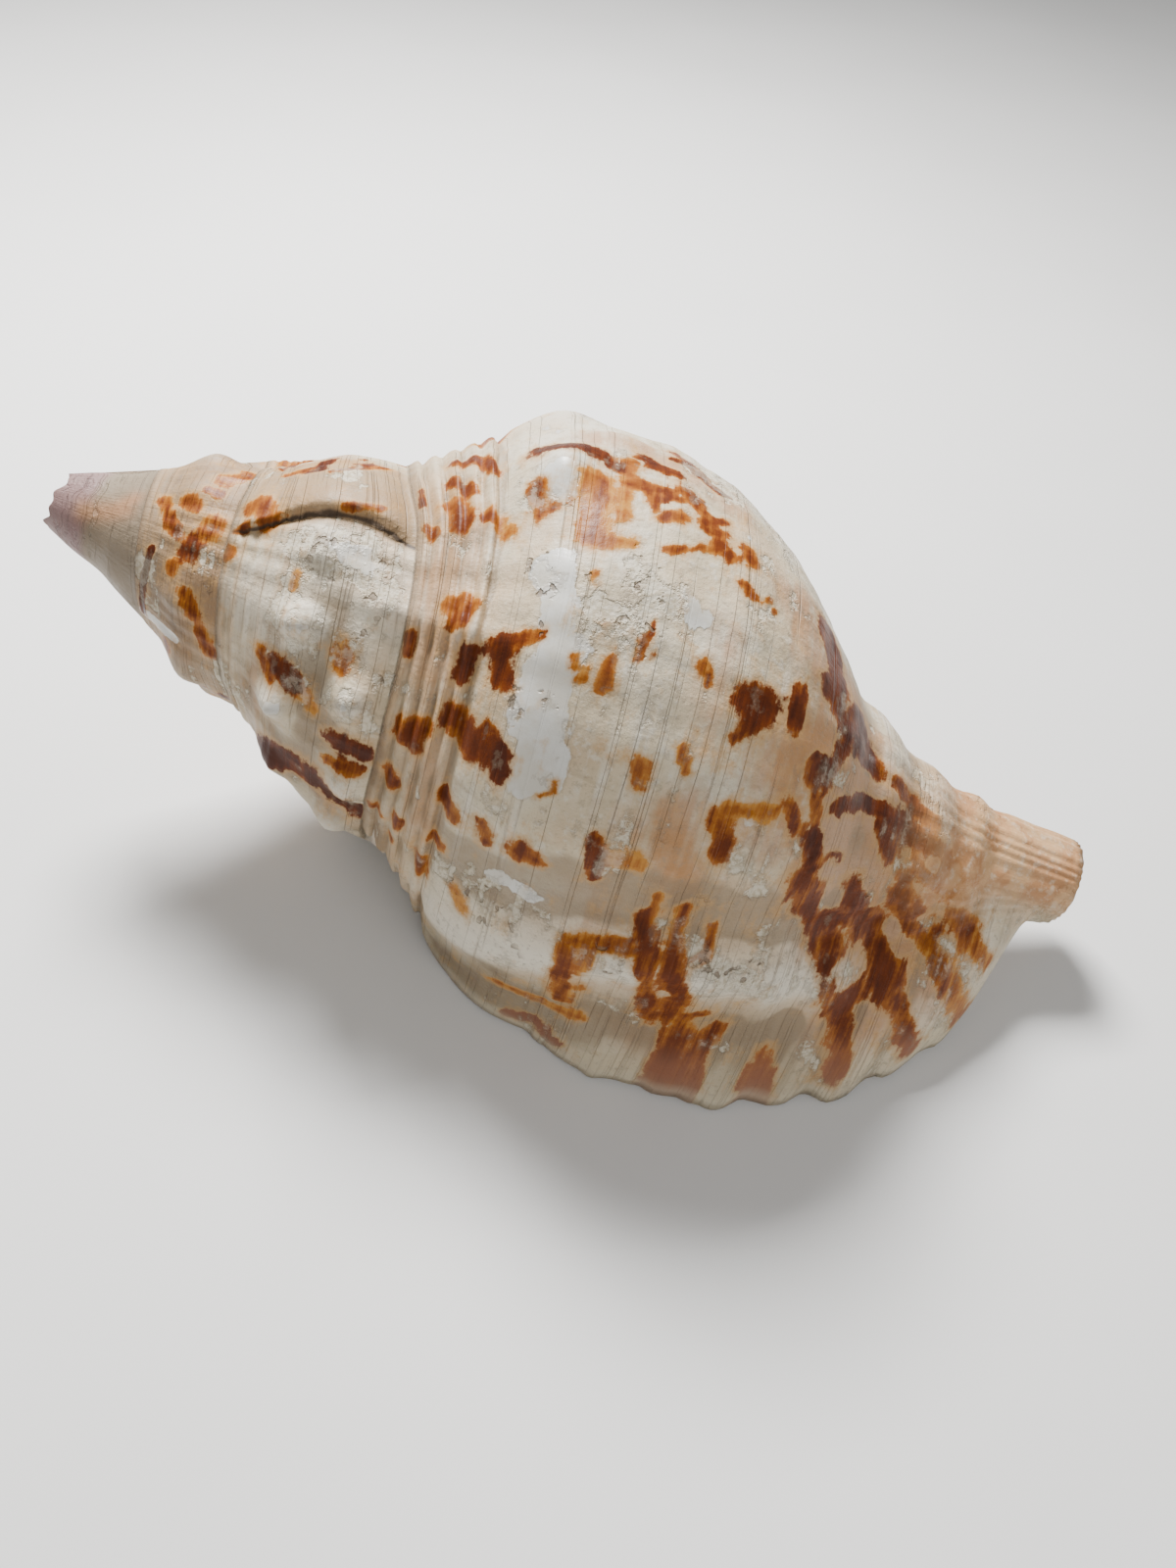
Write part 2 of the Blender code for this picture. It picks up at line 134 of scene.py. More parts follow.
# Brown marks, as strokes: spiral angle and height of both ends, half width in
# millimetres, tone from 0 orange to 1 dark red-brown.
MARKS = [
    (-115, 185, -106, 198, 3, 0.7), (-115, 197, -103, 208, 3.4, 0.75),
    (-130, 182, -118, 190, 3, 0.7), (-103, 193, -93, 192, 2.4, 0.7),
    (-88, 212, -70, 226, 2.6, 0.5), (-70, 226, -41, 242, 2.2, 0.4),
    (-105, 215, -96, 229, 2.4, 0.55), (-96, 186, -86, 192, 2, 0.3),
    (-101, 179, -110, 178, 1.6, 0.5), (-78, 194, -76, 199, 1.8, 0.4),
    (-143, 127, -128, 129, 2.2, 0.15), (-138, 130, -138, 138, 2, 0.4),
    (-140, 141, -133, 151, 2.2, 0.45), (-156, 137, -148, 149, 2, 0.6),
    (-135, 119, -125, 125, 2.4, 0.1), (-45, 152, -48, 163, 1.8, 0.2),
    (-46, 155, -25, 159, 2, 0.2), (-60, 171, -45, 174, 1.8, 0.3), (-36, 178, -16, 186, 3, 0.4),
    (-60, 214, -30, 232, 2.4, 0.45), (-50, 232, -20, 250, 2, 0.35),
    (-145, 108, -143, 114, 2.9, 0.95), (-143, 114, -142, 121, 2.8, 0.95),
    (-142, 121, -140, 125, 1.8, 0.95), (-135, 122, -128, 123, 3.4, 0.2),
    (-128, 123, -122, 124, 3.4, 0.2), (-132, 110, -125, 113, 1.6, 0.35),
    (-125, 113, -127, 115, 1.6, 0.35), (-140, 128, -133, 128, 1.1, 0.6),
    (-147, 131, -145, 139, 2, 0.7), (-138, 133, -132, 135, 1.5, 0.6),
    (-135, 135, -137, 140, 1.1, 0.5), (-130, 137, -132, 141, 1.6, 0.3),
    (-140, 145, -132, 148, 1.5, 0.5), (-132, 148, -128, 154, 1.4, 0.5),
    (-123, 140, -128, 150, 1.1, 0.35), (-133, 146, -137, 151, 1.5, 0.6),
    (-120, 124, -122, 133, 1.6, 0.05), (-113, 127, -113, 127, 1.4, 0.15),
    (-152, 136, -148, 151, 0.9, 0.7), (-132, 157, -130, 159, 1.8, 0.4),
    (-123, 158, -122, 162, 1.4, 0.45), (-123, 165, -122, 167, 0.8, 0.3),
    (-152, 90, -150, 95, 1.5, 0.5), (-150, 95, -142, 100, 1.5, 0.5),
    (-142, 91, -135, 97, 1.2, 0.5), (-132, 94, -125, 97, 2.3, 0.35),
    (-127, 102, -122, 108, 1.5, 0.2), (-103, 106, -98, 104, 1.9, 0.45),
    (-93, 109, -88, 109, 2.2, 0.7), (-97, 114, -90, 117, 2.4, 0.8),
    (-98, 117, -100, 121, 1.6, 0.5), (-78, 111, -75, 116, 3.4, 0.5),
    (-77, 122, -73, 123, 2.2, 0.85), (-80, 118, -78, 120, 1.4, 0.5),
    (-70, 101, -72, 105, 2.3, 0.4), (-60, 114, -58, 118, 2, 0.4),
    (-48, 115, -48, 117, 1.8, 0.4), (-40, 114, -33, 115, 1.5, 0.3),
    (-62, 124, -58, 126, 1.4, 0.45), (-60, 133, -60, 137, 2.6, 0.35),
    (-70, 147, -62, 150, 1.9, 0.6), (-68, 151, -68, 157, 2.2, 0),
    (-98, 129, -95, 132, 1.1, 0.2), (-100, 136, -95, 137, 1.4, 0.35),
    (-105, 141, -102, 141, 0.7, 0.3), (-108, 142, -103, 144, 0.7, 0.5),
    (-105, 155, -102, 157, 1.4, 0.35), (-85, 150, -82, 151, 2.2, 0.3),
    (-90, 156, -87, 159, 1.1, 0.1), (-77, 135, -75, 135, 0.8, 0.2),
    (-73, 133, -73, 133, 0.8, 0.3), (-102, 165, -103, 171, 3.5, 0.75),
    (-103, 171, -98, 169, 3.5, 0.75), (-95, 166, -98, 169, 1.6, 0.6),
    (-107, 177, -103, 179, 1.6, 0.6), (-98, 187, -97, 188, 1.8, 0.8),
    (-108, 193, -107, 198, 3, 0.95), (-107, 198, -105, 203, 3, 0.95),
    (-115, 189, -110, 193, 1.5, 0.6), (-133, 184, -125, 188, 1.8, 0.9),
    (-97, 188, -97, 194, 1.8, 0.85), (-90, 197, -93, 204, 2.4, 0.8),
    (-93, 204, -92, 214, 2.4, 0.8), (-92, 214, -87, 228, 3.1, 0.72),
    (-87, 228, -73, 240, 3.4, 0.72), (-82, 193, -75, 197, 2.3, 0.8),
    (-78, 200, -77, 203, 1.8, 0.7), (-80, 169, -77, 173, 2.7, 0.4),
    (-77, 173, -75, 173, 2.8, 0.4), (-82, 169, -85, 181, 1.6, 0.05),
    (-87, 184, -83, 188, 2, 0.5), (-78, 227, -65, 242, 2.7, 0.5),
    (-72, 195, -52, 208, 4.5, 0.5), (-52, 208, -32, 217, 4.7, 0.5),
    (-32, 217, -7, 230, 4.9, 0.5), (-68, 210, -38, 226, 3.8, 0.55),
    (-38, 226, -22, 234, 3.9, 0.55), (-22, 234, -7, 247, 3.0, 0.4),
    (-63, 225, -43, 235, 3.2, 0.42), (-43, 235, -27, 247, 2.5, 0.3),
    (-27, 247, -7, 261, 2.4, 0.15), (-62, 242, -37, 252, 3.1, 0.3),
    (-37, 252, -22, 261, 1.8, 0.05), (-63, 201, -52, 216, 1.9, 0.6),
    (-8, 210, -1, 211, 4.6, 0.28), (-55, 164, -47, 168, 2.3, 0.5),
    (-47, 168, -15, 178, 2.4, 0.5), (-47, 174, -18, 183, 3.4, 0.45),
    (-14, 186, -1, 187, 5, 0.42), (-14, 194, -1, 195, 4, 0.4), (-42, 151, -18, 157, 2.7, 0.3),
    (-45, 152, -47, 166, 1.8, 0.3), (-62, 165, -53, 166, 1.1, 0.3),
    (-57, 180, -48, 181, 1.8, 0.35), (-22, 188, -28, 181, 2.4, 0.5),
    (-3, 148, -5, 155, 1.6, 0.7), (-5, 155, -3, 161, 1.6, 0.7), (-40, 124, -38, 127, 1.8, 0.05),
    (-13, 141, -12, 164, 1.6, 0), (-427, 64, -422, 68, 1.8, 0.3),
    (-427, 68, -425, 74, 2.7, 0.7), (-437, 83, -440, 83, 2.3, 0.2),
    (-422, 78, -420, 80, 2, 0.1), (-415, 85, -415, 94, 2.4, 1), (-408, 86, -410, 94, 1.2, 0.3),
    (-389, 70, -397, 78, 3, 0.95), (-397, 78, -393, 82, 2.2, 0.65),
    (-397, 84, -393, 97, 3.6, 1), (-457, 67, -453, 67, 1.2, 0.1), (-480, 51, -475, 55, 3, 0.3),
    (-483, 71, -485, 79, 1.2, 0.3), (-124, 90, -122, 92, 1.5, 0.4),
    (-468, 49, -470, 51, 1.2, 0.4), (-507, 53, -510, 59, 1.2, 0.35),
    (-503, 64, -512, 75, 1.2, 0.3), (-837, 29, -823, 33, 1.9, 0.3),
    (-815, 40, -812, 40, 3, 0.65), (-820, 35, -818, 36, 1.9, 0.4),
    (-838, 35, -835, 37, 2.2, 0.25), (-847, 38, -845, 41, 1.2, 0.4),
    (-857, 40, -868, 44, 2.2, 0.2), (-823, 42, -830, 43, 2.7, 0.2),
    (-792, 42, -785, 45, 1.9, 0.4), (-802, 37, -800, 37, 1.5, 0.3),
    (-805, 30.4, -777, 30.2, 0.8, 1), (-777, 30.2, -756, 31, 0.8, 1),
    (-458, 49, -457, 49, 1.8, 0.3), (-777, 48, -770, 51, 1.9, 0.3),
    (-140, 85, -133, 87, 0.9, 0.6), (-67, 101, -67, 104, 2.3, 0.5),
    (-55, 101, -53, 102, 2, 0.45), (-42, 99, -42, 102, 1.2, 0.4),
    (-45, 106, -43, 106, 1.5, 0.5), (-33, 106, -35, 106, 1.2, 0.4),
    (-92, 95, -87, 96, 1.2, 0.4), (-102, 101, -103, 103, 1.8, 0.35)]

# Pale windows between the marks: both ends, half width, strength.
WINDOWS = [
    (-65, 205, -65, 206, 2.6, 1), (-75, 201, -75, 202, 2, 0.9), (-70, 215, -70, 216, 2.2, 1),
    (-60, 220, -60, 221, 1.8, 0.9), (-76, 221, -76, 222, 1.9, 1), (-80, 231, -79, 232, 1.9, 1),
    (-50, 237, -45, 239, 1.9, 1), (-60, 244, -58, 245, 1.7, 1), (-43, 228, -36, 232, 2, 1),
    (-36, 217, -28, 221, 2.4, 1), (-96, 195, -96, 198, 2.6, 0.9), (-86, 206, -86, 208, 2, 0.9),
    (-101, 206, -100, 209, 2, 0.9), (-12, 199, -1, 202, 3, 1.2), (-14, 213, -6, 217, 2.6, 1.2),
    (-17, 228, -5, 235, 2, 1.2), (-22, 241, -10, 250, 2, 1.2), (-22, 257, -12, 263, 2, 1.1),
    (-12, 174, -1, 176, 6, 1.1), (-58, 188, -31, 202, 6, 1.1), (-51, 194, -41, 194, 7, 1.1),
    (-36, 164, -31, 161, 4.4, 1), (-31, 177, -30, 178, 1.8, 0.9),
    (-25, 185, -24, 186, 1.8, 0.9)]

# Warm tan haze under the worn surface: both ends, half width, strength.
HAZE = [
    (-78, 161, -45, 176, 7, 0.8), (-83, 176, -77, 186, 6, 0.6), (-133, 124, -122, 126, 6, 0.7),
    (-23, 158, -48, 155, 7, 0.6), (-98, 200, -57, 242, 13, 0.95), (-50, 211, -13, 228, 11, 0.9),
    (-128, 176, -112, 204, 9, 0.9), (-95, 188, -30, 236, 15, 1.0),
    (-120, 182, -100, 214, 9, 0.8), (-150, 120, -150, 150, 8, 0.7),
    (-40, 158, -24, 182, 5, 0.7), (-40, 237, -23, 247, 10, 0.7), (-113, 157, -92, 161, 5, 0.55),
    (-135, 94, -83, 103, 7, 0.75), (-83, 103, -48, 113, 7, 0.6), (-818, 45, -778, 48, 7, 0.9),
    (-482, 55, -488, 80, 6, 0.8), (-520, 52, -510, 77, 3, 0.8), (-17, 177, -3, 191, 9, 0.7),
    (-3, 151, -3, 161, 5, 0.9), (-8, 208, -3, 213, 6, 0.6), (-397, 80, -392, 91, 7, 0.7),
    (-437, 62, -402, 66, 3, 0.5), (-148, 139, -143, 156, 5, 0.6),
    (-130, 177, -117, 189, 4, 0.5), (-93, 185, -78, 195, 4, 0.5), (-73, 152, -53, 154, 8, 0.5),
    (-190, 120, -230, 130, 12, 0.5), (-260, 150, -300, 160, 12, 0.6),
    (-170, 200, -260, 200, 10, 0.8), (-520, 60, -560, 64, 8, 0.5), (-640, 54, -700, 56, 8, 0.6),
    (-750, 40, -850, 40, 8, 0.9), (-860, 36, -930, 34, 8, 0.8), (-1010, 26, -1080, 26, 6, 0.7)]

# Smooth white enamel left on the worn surface: both ends, half width, strength.
ENAMEL = [
    (-113, 119, -108, 122, 4, 1.15), (-108, 122, -102, 123, 4, 1.15),
    (-98, 127, -92, 126, 4.7, 1.2), (-92, 126, -83, 129, 4.8, 1.2),
    (-83, 129, -77, 130, 4.8, 1.2), (-100, 129, -100, 129, 1.6, 0.9),
    (-85, 121, -82, 123, 2, 0.8), (-135, 113, -130, 116, 3.1, 1.1),
    (-117, 146, -112, 150, 2.8, 0.7), (-443, 70, -443, 72, 2.6, 0.72),
    (-428, 87, -428, 89, 2.8, 0.66), (-415, 70, -418, 72, 2.2, 0.66),
    (-757, 31, -763, 41, 1.3, 1.5), (-472, 71, -465, 87, 4.3, 0.6),
    (-50, 130, -50, 141, 2.6, 0.9), (-157, 107, -153, 110, 2.2, 0.8),
    (-108, 205, -107, 210, 1.1, 0.5), (-83, 176, -78, 180, 2.5, 0.5),
    (-196, 130, -206, 132, 6, 0.9), (-240, 118, -250, 121, 6, 0.8),
    (-284, 108, -292, 112, 6, 0.9), (-550, 60, -556, 64, 4, 0.8),
    (-226, 160, -234, 164, 5, 0.7), (-610, 58, -616, 61, 4, 0.7)]

# Peach patch near the broken tip.
PEACH = [
    (-1172, 10, -1186, 20, 2.4, 1), (-1180, 16, -1196, 21, 2, 1)]

# Places darkened by brown dirt and by painted shade: both ends, half width.
DIRT_AND_SHADE_SPOTS = [
    (-428, 78, -404, 82, 3.4, 1), (-398, 74, -384, 96, 6, 1), (-410, 62, -388, 66, 3, 1),
    (-455, 78, -446, 80, 2.6, 1), (-470, 66, -466, 90, 2, 1), (-540, 48, -505, 52, 2, 1),
    (-800, 31, -772, 40, 4, 1), (-860, 28, -835, 31, 3, 1), (-60, 97, -20, 104, 3, 1),
    (-62, 172, -48, 176, 3, 1), (-24, 130, -14, 150, 3, 1)]

# Places worn rough and pitted: both ends, half width, strength.
WORN = [
    (-114, 116, -108, 119, 3, 1), (-103, 120, -100, 122, 2.6, 1),
    (-103, 129, -100, 131, 2.4, 0.9), (-88, 120, -86, 122, 2.4, 1),
    (-89, 127, -87, 129, 2.6, 1), (-92, 111, -84, 112, 2.4, 0.8),
    (-116, 124, -110, 127, 2.6, 1), (-120, 136, -106, 140, 4, 0.9),
    (-44, 128, -32, 140, 6, 0.9), (-42, 158, -38, 164, 6, 0.9), (-48, 186, -40, 198, 7, 0.8),
    (-466, 72, -456, 86, 7, 0.8), (-448, 82, -440, 92, 5, 0.8), (-430, 62, -424, 74, 4, 0.6),
    (-52, 228, -44, 236, 4, 0.7), (-70, 212, -64, 218, 4, 0.7), (-136, 180, -130, 190, 5, 0.5),
    (-74, 160, -64, 172, 8, 0.5), (-800, 44, -790, 48, 4, 0.7), (-200, 146, -214, 154, 10, 0.6),
    (-250, 136, -262, 146, 10, 0.6)]

# Colours as linear red, green and blue.
PAINT = {
    "ground_dark": (0.50, 0.375, 0.23), "ground_mid": (0.57, 0.475, 0.325),
    "ground_pale": (0.66, 0.60, 0.475), "blotch": (0.38, 0.30, 0.19),
    "powder": (0.62, 0.57, 0.47), "blush": (0.58, 0.40, 0.245), "band": (0.72, 0.68, 0.58),
    "tan_deep": (0.41, 0.20, 0.075), "tan": (0.44, 0.255, 0.14),
    # The dark brown dirt colour here also stands for painted shade between the knobs.
    # The first whorls' brown is darkened partly as painted shade on the spire's far end.
    "early": (0.27, 0.17, 0.09), "dirt_shade_brown": (0.14, 0.095, 0.055),
    "cords": (0.38, 0.235, 0.115), "varix": (0.31, 0.195, 0.095),
    # On the lip a painted highlight on the ridge's top, and painted shade in the gutter behind
    # it.
    "edge": (0.60, 0.52, 0.36), "crest_highlight": (0.74, 0.67, 0.53), "gutter": (0.19, 0.14, 0.08),
    # For the relief: wear and painted highlight on the highs, dirt and painted shade in the
    # lows.
    "rubbed": (0.64, 0.59, 0.485), "low_dirt_and_shade": (0.24, 0.17, 0.10),
    "line": (0.24, 0.175, 0.115), "growth": (0.30, 0.22, 0.13), "sand": (0.27, 0.21, 0.145),
    "chalk": (0.60, 0.545, 0.43), "chalk_dark": (0.42, 0.355, 0.25),
    "enamel": (0.62, 0.605, 0.555), "enamel_dark": (0.54, 0.505, 0.43),
    "enamel_rim": (0.27, 0.215, 0.155), "mark_orange": (0.48, 0.215, 0.042),
    "mark_rust": (0.31, 0.098, 0.014), "mark_brown": (0.14, 0.031, 0.007),
    "mark_dark": (0.065, 0.016, 0.007), "halo": (0.49, 0.28, 0.105),
    "stripe": (0.30, 0.135, 0.08), "chalk_rim": (0.20, 0.15, 0.1),
    "brim": (0.66, 0.58, 0.43), "canal": (0.59, 0.345, 0.165),
    "canal_deep": (0.46, 0.215, 0.085), "canal_pale": (0.70, 0.56, 0.40),
    # The cone and the lilac tip keep their own hues but are darkened partly as painted shade on
    # the spire's far end.
    "cone": (0.15, 0.105, 0.065), "cone_pale": (0.22, 0.17, 0.115),
    "lilac": (0.24, 0.145, 0.145), "peach": (0.38, 0.19, 0.09), "pit": (0.17, 0.12, 0.08),
    # The near black crack colour is a painted shadow in the former lip's crack.
    "seam": (0.13, 0.085, 0.05), "crack": (0.055, 0.035, 0.022),
    "inside": (0.64, 0.58, 0.49), "inside_deep": (0.56, 0.43, 0.30),
    "floor": (0.74, 0.73, 0.71), "floor_pale": (0.79, 0.78, 0.76),
}


def curve(x, points):
    """A smooth curve through the points that never overshoots them."""
    px, py = np.array(points, float).T
    gap = np.diff(px)
    slope = np.diff(py) / gap
    a, b = slope[:-1], slope[1:]
    w1 = 2 * gap[1:] + gap[:-1]
    w2 = gap[1:] + 2 * gap[:-1]
    same = a * b > 0
    lean = np.concatenate([[slope[0]], np.zeros(len(a)), [slope[-1]]])
    lean[1:-1][same] = (w1 + w2)[same] / (w1[same] / a[same] + w2[same] / b[same])
    x = np.clip(x, px[0], px[-1])
    k = np.clip(np.searchsorted(px, x, side="right") - 1, 0, len(gap) - 1)
    u = (x - px[k]) / gap[k]
    low = (1 + 2 * u) * (1 - u) ** 2 * py[k] + u * (1 - u) ** 2 * gap[k] * lean[k]
    high = u * u * (3 - 2 * u) * py[k + 1] + u * u * (u - 1) * gap[k] * lean[k + 1]
    return low + high


def ease(x, start, end):
    """From 0 at the start to 1 at the end, smoothly."""
    u = np.clip((x - start) / (end - start), 0, 1)
    return u * u * (3 - 2 * u)


def bump(x, centre, half):
    """1 at the centre, falling off as a bell."""
    return np.exp(-(((x - centre) / half) ** 2))


def varix_step(t):
    """Phi of the step at the former lip."""
    return VARIX_STEP + 14 * bump(t, 47, 12) + 4 * bump(t, 90, 8)


def ridge_line(t):
    """Phi of the ridge that runs behind the lip."""
    return -26 - 15 * bump(t, 175, 40)


def ridge_part(t):
    """Where the ridge stands out, from 0 to 1."""
    return ease(t, 108, 128) * (1 - ease(t, 205, 235))


def outline(phi, t, seam):
    """Radius of the whorl's smooth outline; seam is the radius where it joins the last."""
    start = curve(phi, SUTURE)
    u = np.clip((t - start) / (curve(phi, STAGE_END) - start), 0, 1.25)
    f = curve(u, FORM)
    wide = curve(phi, WIDTH)
    r = np.where(u < 0.38, seam + (wide - seam) * f, wide * f)
    neck = curve(phi, NECK) * (1 + 0.25 * ease(t, 245, 280))
    fuller = curve(t, SPOUT) * ease(phi, -200, -130) * (1 - ease(phi, -75, -35))
    return 0.5 * (r + neck + np.sqrt((r - neck) ** 2 + 16)) + fuller


def level_of(s, v):
    """One measure down the rows, from the share of the head and the number of cords."""
    return HEAD_LEVELS * s + CORD_LEVELS * v


def relief(phi, t, s, v):
    """Height of the knobs, cords and former lips; s and v run down the rows from the seam."""
    h = np.zeros_like(t)
    for at, level, height, half_turn, half_height in KNOBS:
        h = h + height * bump(phi, at, half_turn) * bump(t, level, half_height)
    grown = ease(phi, -1000, -400)
    late = ease(phi, -370, -310)
    reach = 0.2 + 0.2 * late
    step = varix_step(t)
    band = ease(phi, step - 45, step - 30) * (1 - ease(phi, step - 1, step + 1))
    near = ease(s, 0, 0.05) * (1 - ease(s, reach, reach + 0.06)) * ease(phi, -930, -860)
    near = near * (0.45 + 0.55 * late) * (1 - 0.85 * band)
    groove = (0.5 + 0.5 * np.cos(2 * np.pi * s / CORD_PITCH)) ** 1.7
    beads = 0.85 + 0.2 * np.cos(np.radians(phi) * 17 + 14 * s)
    h = h - (0.35 + 1.35 * grown ** 2) * near * (groove - 0.3) * beads
    h = h - (0.4 + 0.8 * late) * grown * bump(s, reach + 0.02, 0.03)
    ribs = 0.22 + 0.75 * ease(t, 188, 216) * ease(phi, -360, -320)
    ribs = ribs * ease(v, 0, 0.05) * (1 - 0.85 * ease(t, 246, 264))
    h = h - ribs * np.cos(2 * np.pi * v)
    level = level_of(np.minimum(s, 1), v)
    threads = 0.1 * np.cos(2 * np.pi * level / THREAD_PITCH) * ease(phi, -560, -430)
    h = h + threads * (1 - 0.6 * near)
    folds = np.sin(np.radians(phi) * 31 + 2.2 * np.sin(np.radians(phi) * 7) + t * 0.02)
    h = h + 0.2 * folds * ease(s, 0.05, 0.4) * ease(phi, -930, -860)
    rise = ease(phi, step - 38, step - 1.5) * (1 - ease(phi, step - 1, step + 1))
    h = h + 2.2 * rise * ease(s, 0.02, 0.12) * (1 - ease(s, 0.85, 1))
    h = h - 0.7 * bump(phi, step + 1.2, 1.3) * ease(s, 0.02, 0.1) * (1 - ease(s, 0.95, 1))
    ridge = ridge_line(t)
    span = ridge_part(t)
    h = h + 3.6 * bump(phi, ridge, 9) * span
    h = h - 2.2 * bump(phi, ridge - 19, 9) * span
    gutter = -7 - 8 * ease(t, 130, 185)
    h = h - 1.8 * bump(phi, gutter, 5.5) * ease(t, 115, 135) * (1 - ease(t, 225, 245))
    return h


def chips(phi, t, cord):
    """How far the lip's broken edge is cut back."""
    cut = 0.5 * np.cos(2 * np.pi * cord) * (0.2 + 0.6 * ease(t, 185, 215))
    cut = cut + 0.35 * np.sin(cord * 2.9 + 1) + 0.25 * np.sin(cord * 11.7)
    return cut * ease(phi, -6, 0) * ease(cord, 0, 0.4)


def broken(phi):
    """Height of the tip's jagged end."""
    turn = math.radians(phi)
    return 0.9 + math.sin(turn * 2) + 0.6 * math.sin(turn * 5 + 1) + 0.45 * math.sin(turn * 11)


def flare(phi, t, rim):
    """How far the lip's edge spreads out and turns, growing toward the lip."""
    start = curve(phi, SUTURE)
    u = (t - start) / (TOP - start)
    back = 40 + 45 * ease(u, 0.55, 0.88)
    reach = np.clip((phi + back) / back, 0, 1) ** 2.3
    out = (curve(u, EDGE_RADIUS) - np.interp(u, rim[0], rim[1])) * reach
    return out, curve(u, EDGE_TURN) * ease(phi, -75, 0)


def place(phi, t, r, turn):
    """Shell coordinates to metres, with the axis along X and the lip's side along -Y."""
    angle = np.radians(LIP_SIDE - phi + turn)
    lean = math.radians(TILT)
    side = -r * np.cos(angle)
    up = r * np.sin(angle)
    x = t * math.cos(lean) + up * math.sin(lean)
    z = -t * math.sin(lean) + up * math.cos(lean)
    return np.stack([x, side, z], axis=-1) / 1000


def finer(values, times):
    """The same rows with more between them."""
    old = np.arange(len(values)) * times
    return np.interp(np.arange(old[-1] + 1), old, values)


def shell_mesh(n, fine):
    """Points, faces and each point's phi, t, row share and side, with n columns a whorl."""
    last = round(-START / 360 * n)
    deep = last + round(DEEP / 360 * n)
    groove = last + round(OPENS / 360 * n)
    step = -START / last
    head = finer(HEAD, fine[0])
    body = np.linspace(0, 1, 2 * BODY_CORDS * fine[1] + 1)
    canal = np.linspace(0, 1, 2 * CANAL_CORDS * fine[2] + 1)
    ic = len(head) - 1
    i1 = ic + len(body)
    rows = i1 + len(canal)
    cord = np.concatenate([np.zeros(ic + 1), body * BODY_CORDS,
                           BODY_CORDS + canal[1:] * CANAL_CORDS])

    def heights(top, low, close):
        mid = low + WELD
        return np.concatenate([top + (low - top) * head, mid + (close - mid) * body,
                               close + (TOP - close) * canal[1:]])

    phis = START + step * np.arange(last + 1)
    t_all = np.zeros((last + 1, rows))
    s_all = np.zeros((last + 1, rows))
    smooth = np.zeros((last + 1, rows))
    raised = np.zeros((last + 1, rows))
    seam = np.zeros(last + 1)
    for j, phi in enumerate(phis):
        top = curve(phi, SUTURE) if j >= n else broken(phi)
        low = curve(phi + 360, SUTURE)
        t = heights(top, low, curve(phi + 360, CLOSES))
        s = (t - top) / (low - top)
        if j < n:
            smooth[j] = curve(t, BROKEN_TIP)
            grow = ease(t, 10, 20) * ease(j, 0, n / 3)
            raised[j] = smooth[j] + relief(phi, t, s, cord) * grow
        else:
            seam[j] = raised[j - n][ic]
            smooth[j] = outline(phi, t, seam[j])
            raised[j] = smooth[j] + relief(phi, t, s, cord)
            raised[j][0] = seam[j]
        if j < last - n:
            raised[j][ic + 2:] = smooth[j][ic + 2:]
        t_all[j] = t
        s_all[j] = s
    start = curve(0.0, SUTURE)
    rim = ((t_all[last] - start) / (TOP - start), smooth[last])

    points = []
    facts = []
    outer = -np.ones((last + 1, rows), int)
    inner = -np.ones((last + 1, rows), int)

    def add(grid, j, i, xyz, fact):
        grid[j, i] = len(points)
        points.append(tuple(xyz))
        facts.append(fact)

    for j, phi in enumerate(phis):
        turn = np.zeros(rows)
        r = raised[j].copy()
        if phi > FLARES:
            out, turn = flare(phi, t_all[j], rim)
            r = r + out
        r = r - chips(phi, t_all[j], cord)
        xyz = place(phi, t_all[j], r, turn)
        end = ic + 1
        if j >= last - n or j + n >= groove:
            end = rows
        elif j + n >= deep:
            end = i1 + 1
        for i in range(end):
            if i == 0 and j >= n:
                outer[j, 0] = outer[j - n, ic]
            elif i <= ic or j >= last - n or j + n >= deep:
                within = 0.0
                if i > ic:
                    within = 1.0 - float(ease(phi, -350, -318))
                level = level_of(min(s_all[j][i], 1), cord[i])
                fact = (phi, t_all[j][i], min(s_all[j][i], 1.5), within, r[i], level,
                            raised[j][i] - smooth[j][i])
                add(outer, j, i, xyz[i], fact)

    for j in range(deep, last + 1):
        phi = phis[j]
        k = j - n
        close = curve(phi, CLOSES)
        low = curve(phi + 360, SUTURE)
        t = heights(curve(phi, SUTURE), low, close)
        slope = (outline(phi, t + 0.6, seam[j]) - outline(phi, t - 0.6, seam[j])) / 1.2
        long = np.sqrt(1 + slope ** 2)
        wall = WALL * (1 - 0.45 * ease(phi, -5, 0))
        r = outline(phi, t, seam[j]) - wall / long
        t_in = t + wall * slope / long
        weld_t = t_all[k][ic + 1] - t_in[0]
        weld_r = raised[k][ic + 1] - r[0]
        blend = 1 - ease(t - t[0], 0, 9)
        opened = ease(phi, OPENS, OPENS + 50)
        foot_t = t_all[k][i1] - t_in[i1]
        foot_r = raised[k][i1] - r[i1]
        shut = (1 - opened) * ease(t, close - 16, close)
        r = r + weld_r * blend + foot_r * shut
        t_in = t_in + weld_t * blend + foot_t * shut
        r[i1:] = r[i1:] * opened + raised[k][i1:] * (1 - opened)
        t_in[i1:] = t[i1:] * opened + t_all[k][i1:] * (1 - opened)
        t_in[-1] = TOP
        turn = np.zeros(rows)
        if phi > FLARES:
            out, turn = flare(phi, np.maximum(t_in, t[0]), rim)
            out = out * (1 - blend)
            r = r + out
            turn = turn * (1 - blend)
        r = r - chips(phi, t_in, cord)
        xyz = place(phi, t_in, r, turn)
        for i in range(rows if j >= groove else i1 + 1):
            if i == 0:
                inner[j, 0] = outer[k, ic + 1]
            elif (i == i1 and j <= groove) or (i > i1 and j == groove):
                inner[j, i] = outer[k, i]
            else:
                add(inner, j, i, xyz[i], (phi, t_in[i], 2.0, 1.0, r[i], t_in[i], 0.0))

